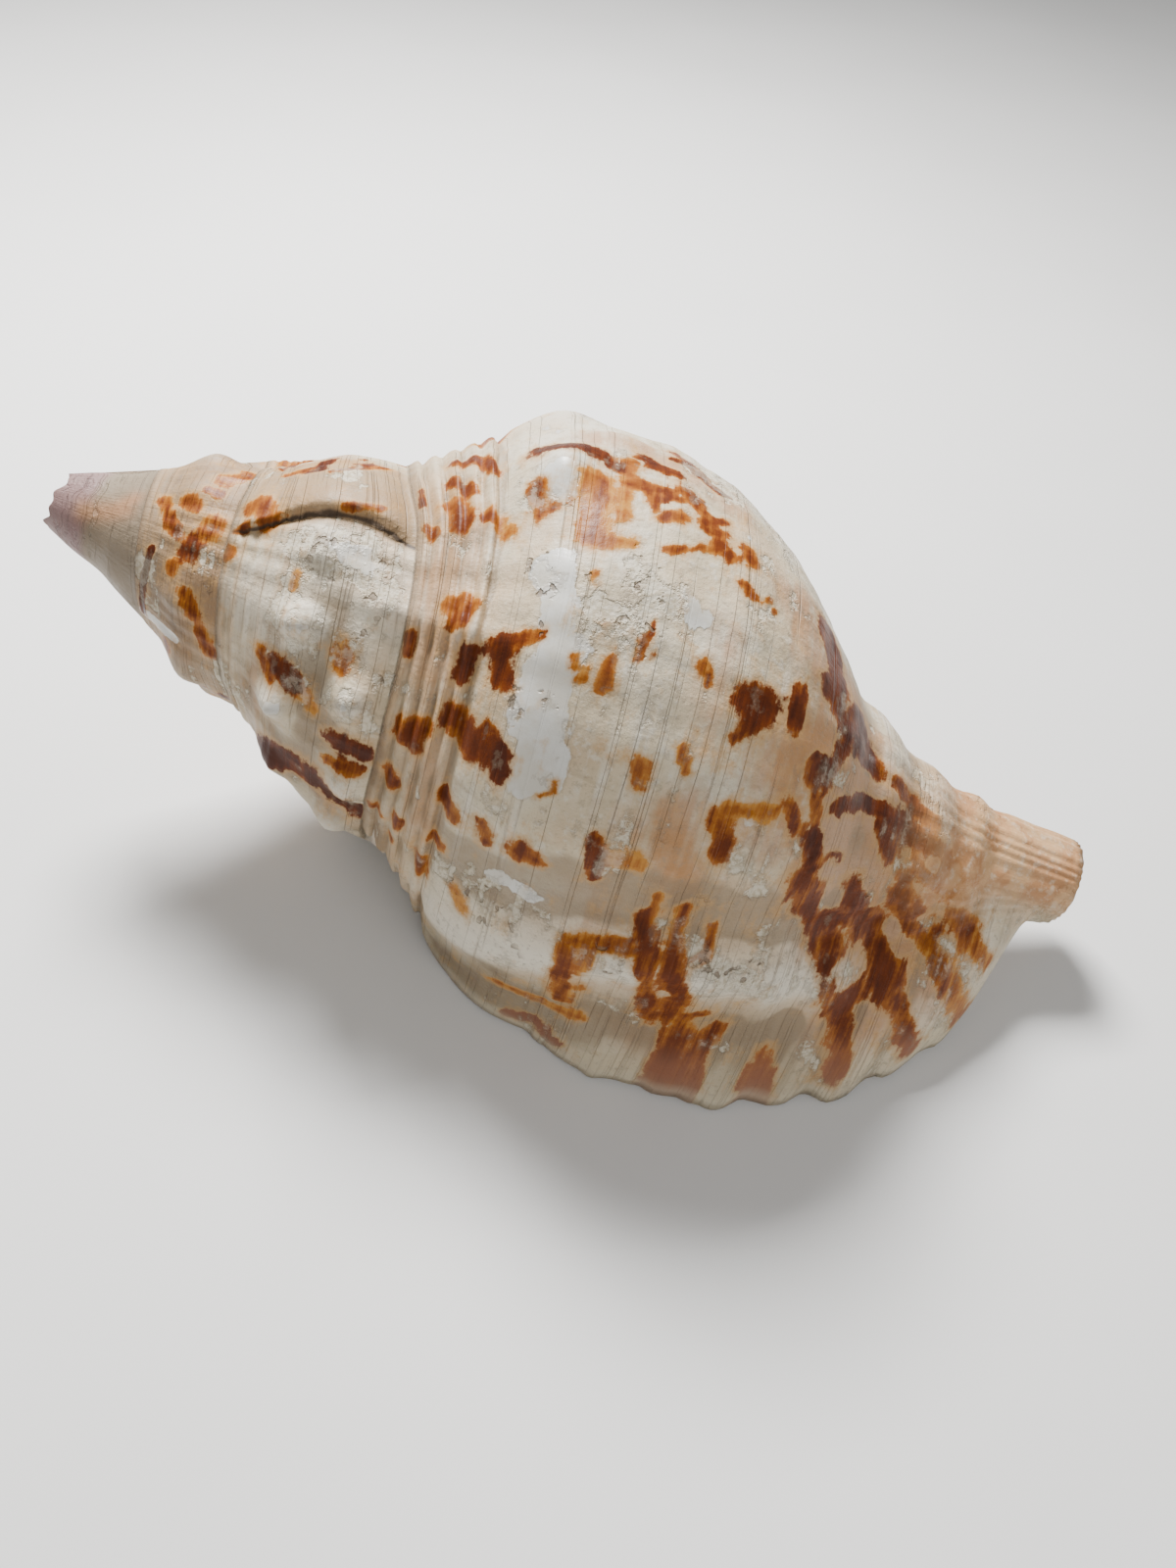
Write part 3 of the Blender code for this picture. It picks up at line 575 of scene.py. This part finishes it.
    faces = []
    for j in range(last):
        open_side = j >= last - n
        in_lumen = j + n >= deep
        for i in range(rows - 1):
            if i == ic and not open_side:
                continue
            if i > ic and not open_side and not in_lumen:
                continue
            if i >= i1 and not open_side and j + n < groove:
                continue
            faces.append([outer[j, i], outer[j, i + 1], outer[j + 1, i + 1], outer[j + 1, i]])
    for j in range(deep, last):
        for i in range(rows - 1 if j >= groove else i1):
            faces.append([inner[j, i], inner[j + 1, i], inner[j + 1, i + 1], inner[j, i + 1]])
    for i in range(rows - 1):
        faces.append([outer[last, i], outer[last, i + 1], inner[last, i + 1], inner[last, i]])

    ring = [inner[deep, i] for i in range(i1 + 1)]
    ring += [outer[deep - n, i] for i in range(i1 - 1, ic + 1, -1)]
    cap = len(points)
    points.append(tuple(np.mean([points[p] for p in ring], axis=0)))
    facts.append((DEEP, 100.0, 2.0, 1.0, 30.0, 100.0, 0.0))
    for a, b in zip(ring, ring[1:] + ring[:1]):
        faces.append([a, b, cap])

    centre = inner[groove, rows - 1]
    for k in range(groove - n + 1, groove):
        faces.append([centre, outer[k + 1, rows - 1], outer[k, rows - 1]])
    for j in range(groove, last):
        faces.append([inner[j, rows - 1], inner[j + 1, rows - 1],
                      outer[j + 1, rows - 1], outer[j, rows - 1]])

    tip = len(points)
    rim_points = [points[outer[j, 0]] for j in range(n)]
    points.append(tuple(np.mean(rim_points, axis=0) + place(0.0, 1.5, 0.0, 0.0)))
    facts.append((START, 0.0, 0.0, 0.0, 5.0, 0.0, 0.0))
    for j in range(n):
        faces.append([outer[j, 0], outer[(j + 1) % n, 0], tip])
    for i in range(ic):
        faces.append([outer[0, i + 1], outer[0, i], outer[n - 1, 0]])
    return np.array(points), [[int(p) for p in reversed(f)] for f in faces], np.array(facts)


def strokes(phi, t, r, table):
    """Strength of the strongest stroke at each point, and that stroke's last number."""
    value = np.zeros_like(t)
    kind = np.zeros_like(t)
    scale = np.radians(r)
    for phi0, t0, phi1, t1, half, last in table:
        across = (phi1 - phi0) * scale
        along = t1 - t0
        x = (phi - phi0) * scale
        y = t - t0
        u = np.clip((x * across + y * along) / (across ** 2 + along ** 2 + 0.01), 0, 1)
        near = np.exp(-0.7 * ((x - u * across) ** 2 + (y - u * along) ** 2) / half ** 2)
        kind = np.where(near > value, last, kind)
        value = np.maximum(value, near)
    return value, kind


def far_marks():
    """Scattered marks for the sides that the photo doesn't show, in the same style."""
    rng = np.random.default_rng(FAR_SEED)
    made = []
    for first, last, count in ((-356, -168, 130), (-745, -505, 66), (-1090, -900, 16)):
        for phi in rng.uniform(first, last, count):
            top = float(curve(phi, SUTURE)) if phi > SUTURE[0][0] else MARKED_FROM
            low = MARKED_TO if phi > -360 else float(curve(phi + 360, SUTURE))
            t = top + (low - top) * rng.uniform(0.04, 0.98)
            half = float(np.clip(rng.lognormal(0.75, 0.45), 1.0, 5.0))
            half *= 0.6 if phi < -500 else 1
            tone = rng.uniform(0.1, 0.9)
            spread = rng.uniform(4, 12) if t > 180 or rng.random() < 0.3 else rng.uniform(-2, 3)
            reach = rng.uniform(-1, 2) if abs(spread) > 4 else rng.uniform(0, 7) * half / 3
            made.append((phi, t, phi - spread, t + reach, half, tone))
    return made


def build_shell():
    """The shell's mesh, with what the material needs to know at each point."""
    points, faces, facts = shell_mesh(COLUMNS, BETWEEN)
    points = points - REST
    mesh = bpy.data.meshes.new("shell_look")
    mesh.from_pydata([tuple(p) for p in points], [], faces)
    mesh.validate()
    phi, t, s, within, r, level, lift = facts.T
    outside = 1 - within
    stain, tone = strokes(phi, t, r, MARKS + far_marks())
    glazed, gloss = strokes(phi, t, r, ENAMEL)
    rubbed, rough = strokes(phi, t, r, WORN)
    warmed, warmth = strokes(phi, t, r, HAZE)
    cleared, clear = strokes(phi, t, r, WINDOWS)
    crack = varix_step(t)
    crest_highlight = ridge_line(t)
    lip = ridge_part(t) * outside
    layers = {
        "stain": np.maximum(stain - 0.8 * cleared * clear, 0) * outside,
        "tone": tone,
        "enamel": glazed * gloss * outside,
        "worn": rubbed * rough * outside,
        "haze": warmed * warmth * outside,
        "lift": lift * outside,
        "within": within,
        "canal": ease(t, 214, 248) * (1 - ease(phi, -75, -40)) * outside,
        "tip": 1 - ease(t, 7, 15),
        # The cone near the tip, darkened partly as painted shade.
        "cone": 1 - ease(phi, -1110, -1000),
        "peach": strokes(phi, t, r, PEACH)[0],
        # Where the painted shadow of the former lip's crack runs.
        "split": np.clip((phi - crack) / 8, -1, 1) * ease(t, 44, 48),
        "seam": bump(s, 0.0, 0.035) * ease(t, 18, 24) * outside,
        "row": s,
        # The first whorls, darkened partly as painted shade.
        "early": 1 - ease(phi, -760, -640),
        # Where brown dirt and painted shade darken the ground.
        "shaded": strokes(phi, t, r, DIRT_AND_SHADE_SPOTS)[0] * outside,
        "varix_row": (ease(phi, -515, -500) * (1 - ease(phi, -470, -462))
                      * ease(t, 45, 50) * outside),
        "varix": (ease(phi, -530, -500) * (1 - ease(phi, -478, -474))
                  * ease(t, 44, 50) * outside),
        # A painted highlight along the lip ridge's top and painted shade in the gutter behind
        # it.
        "crest_highlight": bump(phi, crest_highlight, 8) * lip,
        "gutter": bump(phi, crest_highlight + 22, 9) * lip,
        "edge": ease(phi, -14, -4) * ease(t, 105, 130),
        "brim": ease(phi, -4, -1) * ease(t, 120, 140) * outside,
    }
    for name, values in layers.items():
        attribute = mesh.attributes.new(name, "FLOAT", "POINT")
        attribute.data.foreach_set("value", np.ascontiguousarray(values, np.float32))
    grain = mesh.attributes.new("grain", "FLOAT_VECTOR", "POINT")
    along = np.stack([phi, level, within * 40], axis=-1).astype(np.float32)
    grain.data.foreach_set("vector", np.ascontiguousarray(along).ravel())
    for polygon in mesh.polygons:
        polygon.use_smooth = True
    obj = bpy.data.objects.new("shell_look", mesh)
    bpy.context.scene.collection.objects.link(obj)
    return obj


class Graph:
    """Short calls for shader nodes."""

    def __init__(self, name):
        self.mat = bpy.data.materials.new(name)
        self.mat.use_nodes = True
        self.tree = self.mat.node_tree
        self.shader = self.tree.nodes["Principled BSDF"]

    def node(self, kind, inputs=None, **settings):
        made = self.tree.nodes.new(kind)
        for key, value in settings.items():
            setattr(made, key, value)
        for key, value in (inputs or {}).items():
            self.put(made.inputs[key], value)
        return made

    def put(self, socket, value):
        if isinstance(value, bpy.types.NodeSocket):
            self.tree.links.new(value, socket)
        else:
            socket.default_value = value

    def attribute(self, name):
        return self.node("ShaderNodeAttribute", attribute_name=name).outputs["Fac"]

    def math(self, operation, a, b=0.0):
        made = self.node("ShaderNodeMath", operation=operation)
        for socket, value in zip(made.inputs, (a, b)):
            self.put(socket, value)
        return made.outputs[0]

    def span(self, value, low, high, out_low=0.0, out_high=1.0):
        made = self.node("ShaderNodeMapRange", interpolation_type="SMOOTHSTEP")
        for key, number in (("Value", value), ("From Min", low), ("From Max", high),
                            ("To Min", out_low), ("To Max", out_high)):
            self.put(made.inputs[key], number)
        return made.outputs[0]

    def noise(self, vector, scale, detail=4.0, rough=0.55):
        made = self.node("ShaderNodeTexNoise", {"Vector": vector, "Scale": scale,
                                                "Detail": detail, "Roughness": rough})
        return made.outputs["Fac"]

    def stretch(self, vector, scale):
        made = self.node("ShaderNodeMapping", {"Vector": vector, "Scale": scale})
        return made.outputs[0]

    def mix(self, share, a, b):
        """Colour a turned into colour b by the share; a plain colour is three numbers."""
        made = self.node("ShaderNodeMix", data_type="RGBA")
        self.put(made.inputs[0], share)
        for socket, colour in ((made.inputs[6], a), (made.inputs[7], b)):
            self.put(socket, (*colour, 1) if isinstance(colour, tuple) else colour)
        return made.outputs[2]

    def ramp(self, value, stops):
        made = self.node("ShaderNodeValToRGB", {"Fac": value})
        ramp = made.color_ramp
        while len(ramp.elements) < len(stops):
            ramp.elements.new(0.5)
        for element, (at, colour) in zip(ramp.elements, stops):
            element.position = at
            element.color = (*colour, 1)
        return made.outputs["Color"]


def shell_material():
    """Worn, pitted shell: cream ground, enamel, brown marks, pink canal, smooth inside."""
    g = Graph("shell_worn")
    place_at = g.node("ShaderNodeTexCoord").outputs["Object"]
    grain = g.node("ShaderNodeAttribute", attribute_name="grain").outputs["Vector"]
    stain = g.attribute("stain")
    tone = g.attribute("tone")
    within = g.attribute("within")
    enamel = g.attribute("enamel")
    worn = g.attribute("worn")
    haze = g.attribute("haze")
    canal = g.attribute("canal")
    lift = g.attribute("lift")
    tip = g.attribute("tip")
    coned = g.attribute("cone")
    peach = g.attribute("peach")
    split = g.attribute("split")
    seam = g.attribute("seam")
    row = g.attribute("row")
    varix = g.attribute("varix")
    varix_row = g.attribute("varix_row")
    edge = g.attribute("edge")
    early = g.attribute("early")
    brim = g.attribute("brim")
    shaded = g.attribute("shaded")
    crest_highlight = g.attribute("crest_highlight")
    gutter = g.attribute("gutter")

    # Noises: grains of several sizes, along the cords and along the growth lines.
    broad = g.noise(place_at, 28.0, 3.0)
    medium = g.noise(place_at, 110.0, 5.0, 0.6)
    fine = g.noise(place_at, 420.0, 5.0, 0.65)
    sand = g.noise(place_at, 900.0, 3.0, 0.6)
    spiral = g.noise(g.stretch(grain, (0.012, 0.42, 1.0)), 1.0, 4.0, 0.6)
    thread = g.noise(g.stretch(grain, (0.004, 0.42, 1.0)), 1.0, 1.0, 0.5)
    growth = g.noise(g.stretch(grain, (0.42, 0.03, 1.0)), 1.0, 4.0, 0.6)

    def offset(value, size):
        return g.math("MULTIPLY", g.math("SUBTRACT", value, 0.5), size)

    # The cream ground and its haze, dirt and painted shade in its lows, wear and painted
    # highlight on its highs.
    ground = g.ramp(broad, [(0.36, PAINT["ground_dark"]), (0.5, PAINT["ground_mid"]),
                            (0.62, PAINT["ground_pale"])])
    ground = g.mix(g.span(medium, 0.48, 0.68, 0.0, 0.5), ground, PAINT["blotch"])
    ground = g.mix(g.span(fine, 0.52, 0.68, 0.0, 0.6), ground, PAINT["powder"])
    blush = g.noise(place_at, 17.0, 4.0, 0.6)
    ground = g.mix(g.span(blush, 0.48, 0.6, 0.0, 0.5), ground, PAINT["blush"])
    bands = g.span(spiral, 0.46, 0.62, 0.0, 0.55)
    ground = g.mix(g.math("MULTIPLY", bands, g.span(blush, 0.5, 0.38)), ground, PAINT["band"])
    warm = g.math("ADD", haze, offset(medium, 0.9))
    warm = g.math("ADD", warm, offset(spiral, 0.8))
    warm = g.math("MULTIPLY", g.span(warm, 0.2, 0.85), 0.92)
    tan = g.mix(g.span(broad, 0.42, 0.58), PAINT["tan_deep"], PAINT["tan"])
    ground = g.mix(warm, ground, tan)
    # The first whorls browner and darker, the darkening partly painted shade on the spire's far
    # end.
    ground = g.mix(g.math("MULTIPLY", early, 0.8), ground, PAINT["early"])
    # Brown dirt and painted shade darken the ground at the listed places.
    dirt_and_shade = g.math("MULTIPLY", shaded, g.span(medium, 0.35, 0.6, 0.35, 0.8))
    ground = g.mix(dirt_and_shade, ground, PAINT["dirt_shade_brown"])
    cords = g.math("SUBTRACT", 1.0, g.span(row, 0.4, 0.48))
    cords = g.math("MULTIPLY", cords, g.span(spiral, 0.35, 0.65, 0.1, 0.6))
    ground = g.mix(cords, ground, PAINT["cords"])
    ground = g.mix(g.math("MULTIPLY", varix, 0.85), ground, PAINT["varix"])
    ground = g.mix(g.math("MULTIPLY", edge, 0.7), ground, PAINT["edge"])
    # A painted highlight on the lip ridge's top, painted shade in the gutter behind it.
    ground = g.mix(g.math("MULTIPLY", crest_highlight, 0.9), ground, PAINT["crest_highlight"])
    shade = g.math("MULTIPLY", gutter, g.span(spiral, 0.35, 0.65, 0.5, 0.85))
    ground = g.mix(shade, ground, PAINT["gutter"])

    # Wear and painted highlight on the relief's highs, dirt and painted shade in its lows.
    wear_and_highlight = g.span(g.math("ADD", lift, offset(medium, 2.0)), 0.6, 4.2, 0.0, 0.85)
    wear_and_highlight = g.math("MULTIPLY", wear_and_highlight, g.math("SUBTRACT", 1.0, varix))
    later = g.math("SUBTRACT", 1.0, g.math("MULTIPLY", early, 0.6))
    wear_and_highlight = g.math("MULTIPLY", wear_and_highlight, later)
    ground = g.mix(wear_and_highlight, ground, PAINT["rubbed"])
    dirt_and_shade_low = g.span(g.math("ADD", lift, offset(medium, 1.2)), -0.35, -1.1, 0.0, 0.7)
    ground = g.mix(dirt_and_shade_low, ground, PAINT["low_dirt_and_shade"])

    # Fine dark lines along the whorl, growth lines and sand.
    line = g.math("ABSOLUTE", g.math("SUBTRACT", thread, 0.5))
    line = g.math("SUBTRACT", 1.0, g.span(line, 0.0, 0.018))
    line = g.math("MULTIPLY", line, g.span(spiral, 0.44, 0.56))
    line = g.math("MULTIPLY", line, g.math("SUBTRACT", 1.0, canal))
    ground = g.mix(g.math("MULTIPLY", line, 0.4), ground, PAINT["line"])
    ground = g.mix(g.span(growth, 0.56, 0.7, 0.0, 0.3), ground, PAINT["growth"])
    ground = g.mix(g.span(sand, 0.56, 0.68, 0.0, 0.4), ground, PAINT["sand"])

    # Where the surface is eaten down to chalk.
    eaten = g.noise(place_at, 62.0, 6.0, 0.68)
    eaten = g.math("ADD", eaten, offset(thread, 0.2))
    eaten = g.math("ADD", eaten, g.math("MULTIPLY", worn, 0.09))
    chalk = g.span(eaten, 0.585, 0.635)
    lip_of_chalk = g.math("MULTIPLY", g.span(eaten, 0.55, 0.585),
                          g.math("SUBTRACT", 1.0, g.span(eaten, 0.585, 0.615)))
    chalk_tint = g.mix(g.span(sand, 0.42, 0.62), PAINT["chalk"], PAINT["chalk_dark"])

    # White enamel with a dirty rim.
    glaze_at = g.math("ADD", enamel, offset(g.noise(place_at, 75.0, 5.0, 0.6), 2.0))
    glaze_at = g.math("ADD", glaze_at, offset(spiral, 0.6))
    glaze = g.span(glaze_at, 0.50, 0.6)
    rim = g.math("MULTIPLY", g.span(glaze_at, 0.42, 0.5),
                 g.math("SUBTRACT", 1.0, g.span(glaze_at, 0.5, 0.58)))
    white = g.mix(g.span(medium, 0.4, 0.62), PAINT["enamel"], PAINT["enamel_dark"])
    colour = g.mix(glaze, ground, white)
    colour = g.mix(g.math("MULTIPLY", rim, 0.35), colour, PAINT["enamel_rim"])

    # Brown marks with ragged edges and a tan halo.
    streak = g.noise(g.stretch(grain, (0.07, 0.5, 1.0)), 1.0, 4.0, 0.6)
    ragged = g.math("ADD", offset(g.noise(place_at, 120.0, 6.0, 0.7), 1.8), offset(streak, 0.6))
    mark_at = g.math("ADD", stain, ragged)
    mark = g.span(mark_at, 0.37, 0.56)
    depth = g.math("ADD", g.math("MULTIPLY", tone, 0.66), g.span(mark_at, 0.45, 1.0, 0.0, 0.26))
    depth = g.math("ADD", depth, offset(medium, 0.7))
    depth = g.math("ADD", depth, offset(streak, 0.9))
    brown = g.ramp(depth, [(0.02, PAINT["mark_orange"]), (0.28, PAINT["mark_rust"]),
                           (0.54, PAINT["mark_brown"]), (0.86, PAINT["mark_dark"])])
    faint = g.span(mark_at, 0.04, 0.44, 0.0, 0.7)
    colour = g.mix(faint, colour, PAINT["halo"])
    brown = g.mix(g.math("MULTIPLY", edge, 0.85), brown, PAINT["stripe"])
    colour = g.mix(mark, colour, brown)
    chalk = g.math("MULTIPLY", chalk, g.math("SUBTRACT", 1.0, g.math("MULTIPLY", glaze, 0.6)))
    chalk = g.math("MULTIPLY", chalk, g.math("SUBTRACT", 1.0, g.math("MULTIPLY", mark, 0.55)))
    colour = g.mix(g.math("MULTIPLY", chalk, 0.85), colour, chalk_tint)
    colour = g.mix(g.math("MULTIPLY", lip_of_chalk, 0.35), colour, PAINT["chalk_rim"])

    # The lip's brim, the canal, and the cone and lilac tip, darkened partly as painted shade on
    # the spire's far end.
    colour = g.mix(g.math("MULTIPLY", brim, 0.45), colour, PAINT["brim"])
    canal_tint = g.mix(g.span(medium, 0.42, 0.6), PAINT["canal"], PAINT["canal_deep"])
    canal_tint = g.mix(g.span(fine, 0.5, 0.68, 0.0, 0.6), canal_tint, PAINT["canal_pale"])
    colour = g.mix(g.math("MULTIPLY", canal, 0.9), colour, canal_tint)
    cone = g.mix(g.span(broad, 0.4, 0.6), PAINT["cone"], PAINT["cone_pale"])
    cone = g.mix(g.span(tip, 0.2, 0.9), cone, PAINT["lilac"])
    cone = g.mix(g.math("MULTIPLY", peach, 0.9), cone, PAINT["peach"])
    colour = g.mix(g.math("MULTIPLY", coned, 0.88), colour, cone)

    # Pits, the seam, and a painted shadow along the crack of the former lip.
    gate = g.math("ADD", worn, offset(g.noise(place_at, 60.0, 3.0), 1.6))
    room = g.span(gate, 0.35, 0.8, 0.0, 1.0)
    hole = g.noise(place_at, 330.0, 2.0, 0.5)
    pit = g.math("MULTIPLY", g.math("SUBTRACT", 1.0, g.span(hole, 0.33, 0.39)), room)
    colour = g.mix(g.math("MULTIPLY", pit, 0.75), colour, PAINT["pit"])
    colour = g.mix(g.math("MULTIPLY", seam, 0.75), colour, PAINT["seam"])
    crack_shadow = g.math("ABSOLUTE", g.math("SUBTRACT", split, 0.1))
    crack_shadow = g.math("ADD", crack_shadow, offset(medium, 0.12))
    crack_shadow = g.math("MULTIPLY", g.math("SUBTRACT", 1.0, g.span(crack_shadow, 0.03, 0.13)), varix_row)
    colour = g.mix(g.math("MULTIPLY", crack_shadow, 0.9), colour, PAINT["crack"])

    # The smooth inside.
    inside = g.mix(g.span(broad, 0.35, 0.7), PAINT["inside"], PAINT["inside_deep"])
    colour = g.mix(within, colour, inside)

    g.put(g.shader.inputs["Base Color"], colour)
    rough = g.span(medium, 0.3, 0.7, 0.45, 0.65)
    rough = g.math("SUBTRACT", rough, g.math("MULTIPLY", glaze, 0.22))
    rough = g.math("SUBTRACT", rough, g.math("MULTIPLY", mark, 0.15))
    rough = g.math("SUBTRACT", rough, g.math("MULTIPLY", within, 0.15))
    rough = g.math("ADD", rough, g.math("MULTIPLY", chalk, 0.18))
    g.put(g.shader.inputs["Roughness"], rough)

    # The fine relief, smoother on enamel, marks and lining.
    height = g.math("MULTIPLY", fine, 0.6)
    height = g.math("ADD", height, g.math("MULTIPLY", medium, 1.0))
    height = g.math("ADD", height, g.math("MULTIPLY", growth, 0.35))
    height = g.math("SUBTRACT", height, g.math("MULTIPLY", line, 0.45))
    height = g.math("ADD", height, g.math("MULTIPLY", sand, g.math("MULTIPLY", room, 0.5)))
    smooth = g.math("MAXIMUM", g.math("MULTIPLY", glaze, 0.8), g.math("MULTIPLY", within, 0.9))
    smooth = g.math("MAXIMUM", smooth, g.math("MULTIPLY", mark, 0.5))
    height = g.math("MULTIPLY", height, g.math("SUBTRACT", 1.0, smooth))
    height = g.math("ADD", height, g.math("MULTIPLY", smooth, 1.1))
    height = g.math("SUBTRACT", height, g.math("MULTIPLY", pit, 1.1))
    height = g.math("SUBTRACT", height, g.math("MULTIPLY", chalk, 0.5))
    bumped = g.node("ShaderNodeBump", {"Strength": 0.9, "Distance": 0.0006, "Height": height})
    g.put(g.shader.inputs["Normal"], bumped.outputs[0])
    g.shader.inputs["IOR"].default_value = 1.5
    g.put(g.shader.inputs["Specular IOR Level"],
          g.math("SUBTRACT", 0.32, g.math("MULTIPLY", mark, 0.2)))
    return g.mat


def floor_material():
    g = Graph("floor_pale")
    at = g.node("ShaderNodeTexCoord").outputs["Object"]
    tint = g.mix(g.span(g.noise(at, 3.0, 3.0), 0.3, 0.7), PAINT["floor"],
                 PAINT["floor_pale"])
    g.put(g.shader.inputs["Base Color"], tint)
    g.shader.inputs["Roughness"].default_value = 0.8
    return g.mat


def studio():
    """The pale floor, the sky and two lamps."""
    mesh = bpy.data.meshes.new("floor")
    corners = [(-FLOOR, -FLOOR, 0), (FLOOR, -FLOOR, 0), (FLOOR, FLOOR, 0), (-FLOOR, FLOOR, 0)]
    mesh.from_pydata(corners, [], [(0, 1, 2, 3)])
    mesh.materials.append(floor_material())
    floor = bpy.data.objects.new("floor", mesh)
    bpy.context.scene.collection.objects.link(floor)
    world = bpy.data.worlds.new("studio")
    world.use_nodes = True
    sky = world.node_tree.nodes["Background"]
    sky.inputs["Color"].default_value = SKY
    sky.inputs["Strength"].default_value = SKY_POWER
    bpy.context.scene.world = world
    for name, at, size, power in LAMPS:
        light = bpy.data.lights.new(name, "AREA")
        light.size = size
        light.energy = power
        lamp = bpy.data.objects.new(name, light)
        lamp.location = at
        aim = Vector(LIT_POINT) - Vector(at)
        lamp.rotation_euler = aim.to_track_quat("-Z", "Y").to_euler()
        bpy.context.scene.collection.objects.link(lamp)


def camera():
    """The photo's viewpoint."""
    data = bpy.data.cameras.new("camera")
    data.sensor_width = FILM
    data.lens = LENS
    data.clip_start = 0.01
    eye = bpy.data.objects.new("camera", data)
    turn = Matrix(EYE_AXES).transposed().to_4x4()
    eye.matrix_world = Matrix.Translation(EYE) @ turn
    bpy.context.scene.collection.objects.link(eye)
    bpy.context.scene.camera = eye


shell = build_shell()
shell.data.materials.append(shell_material())
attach(shell, "root")
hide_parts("shell")
studio()
camera()
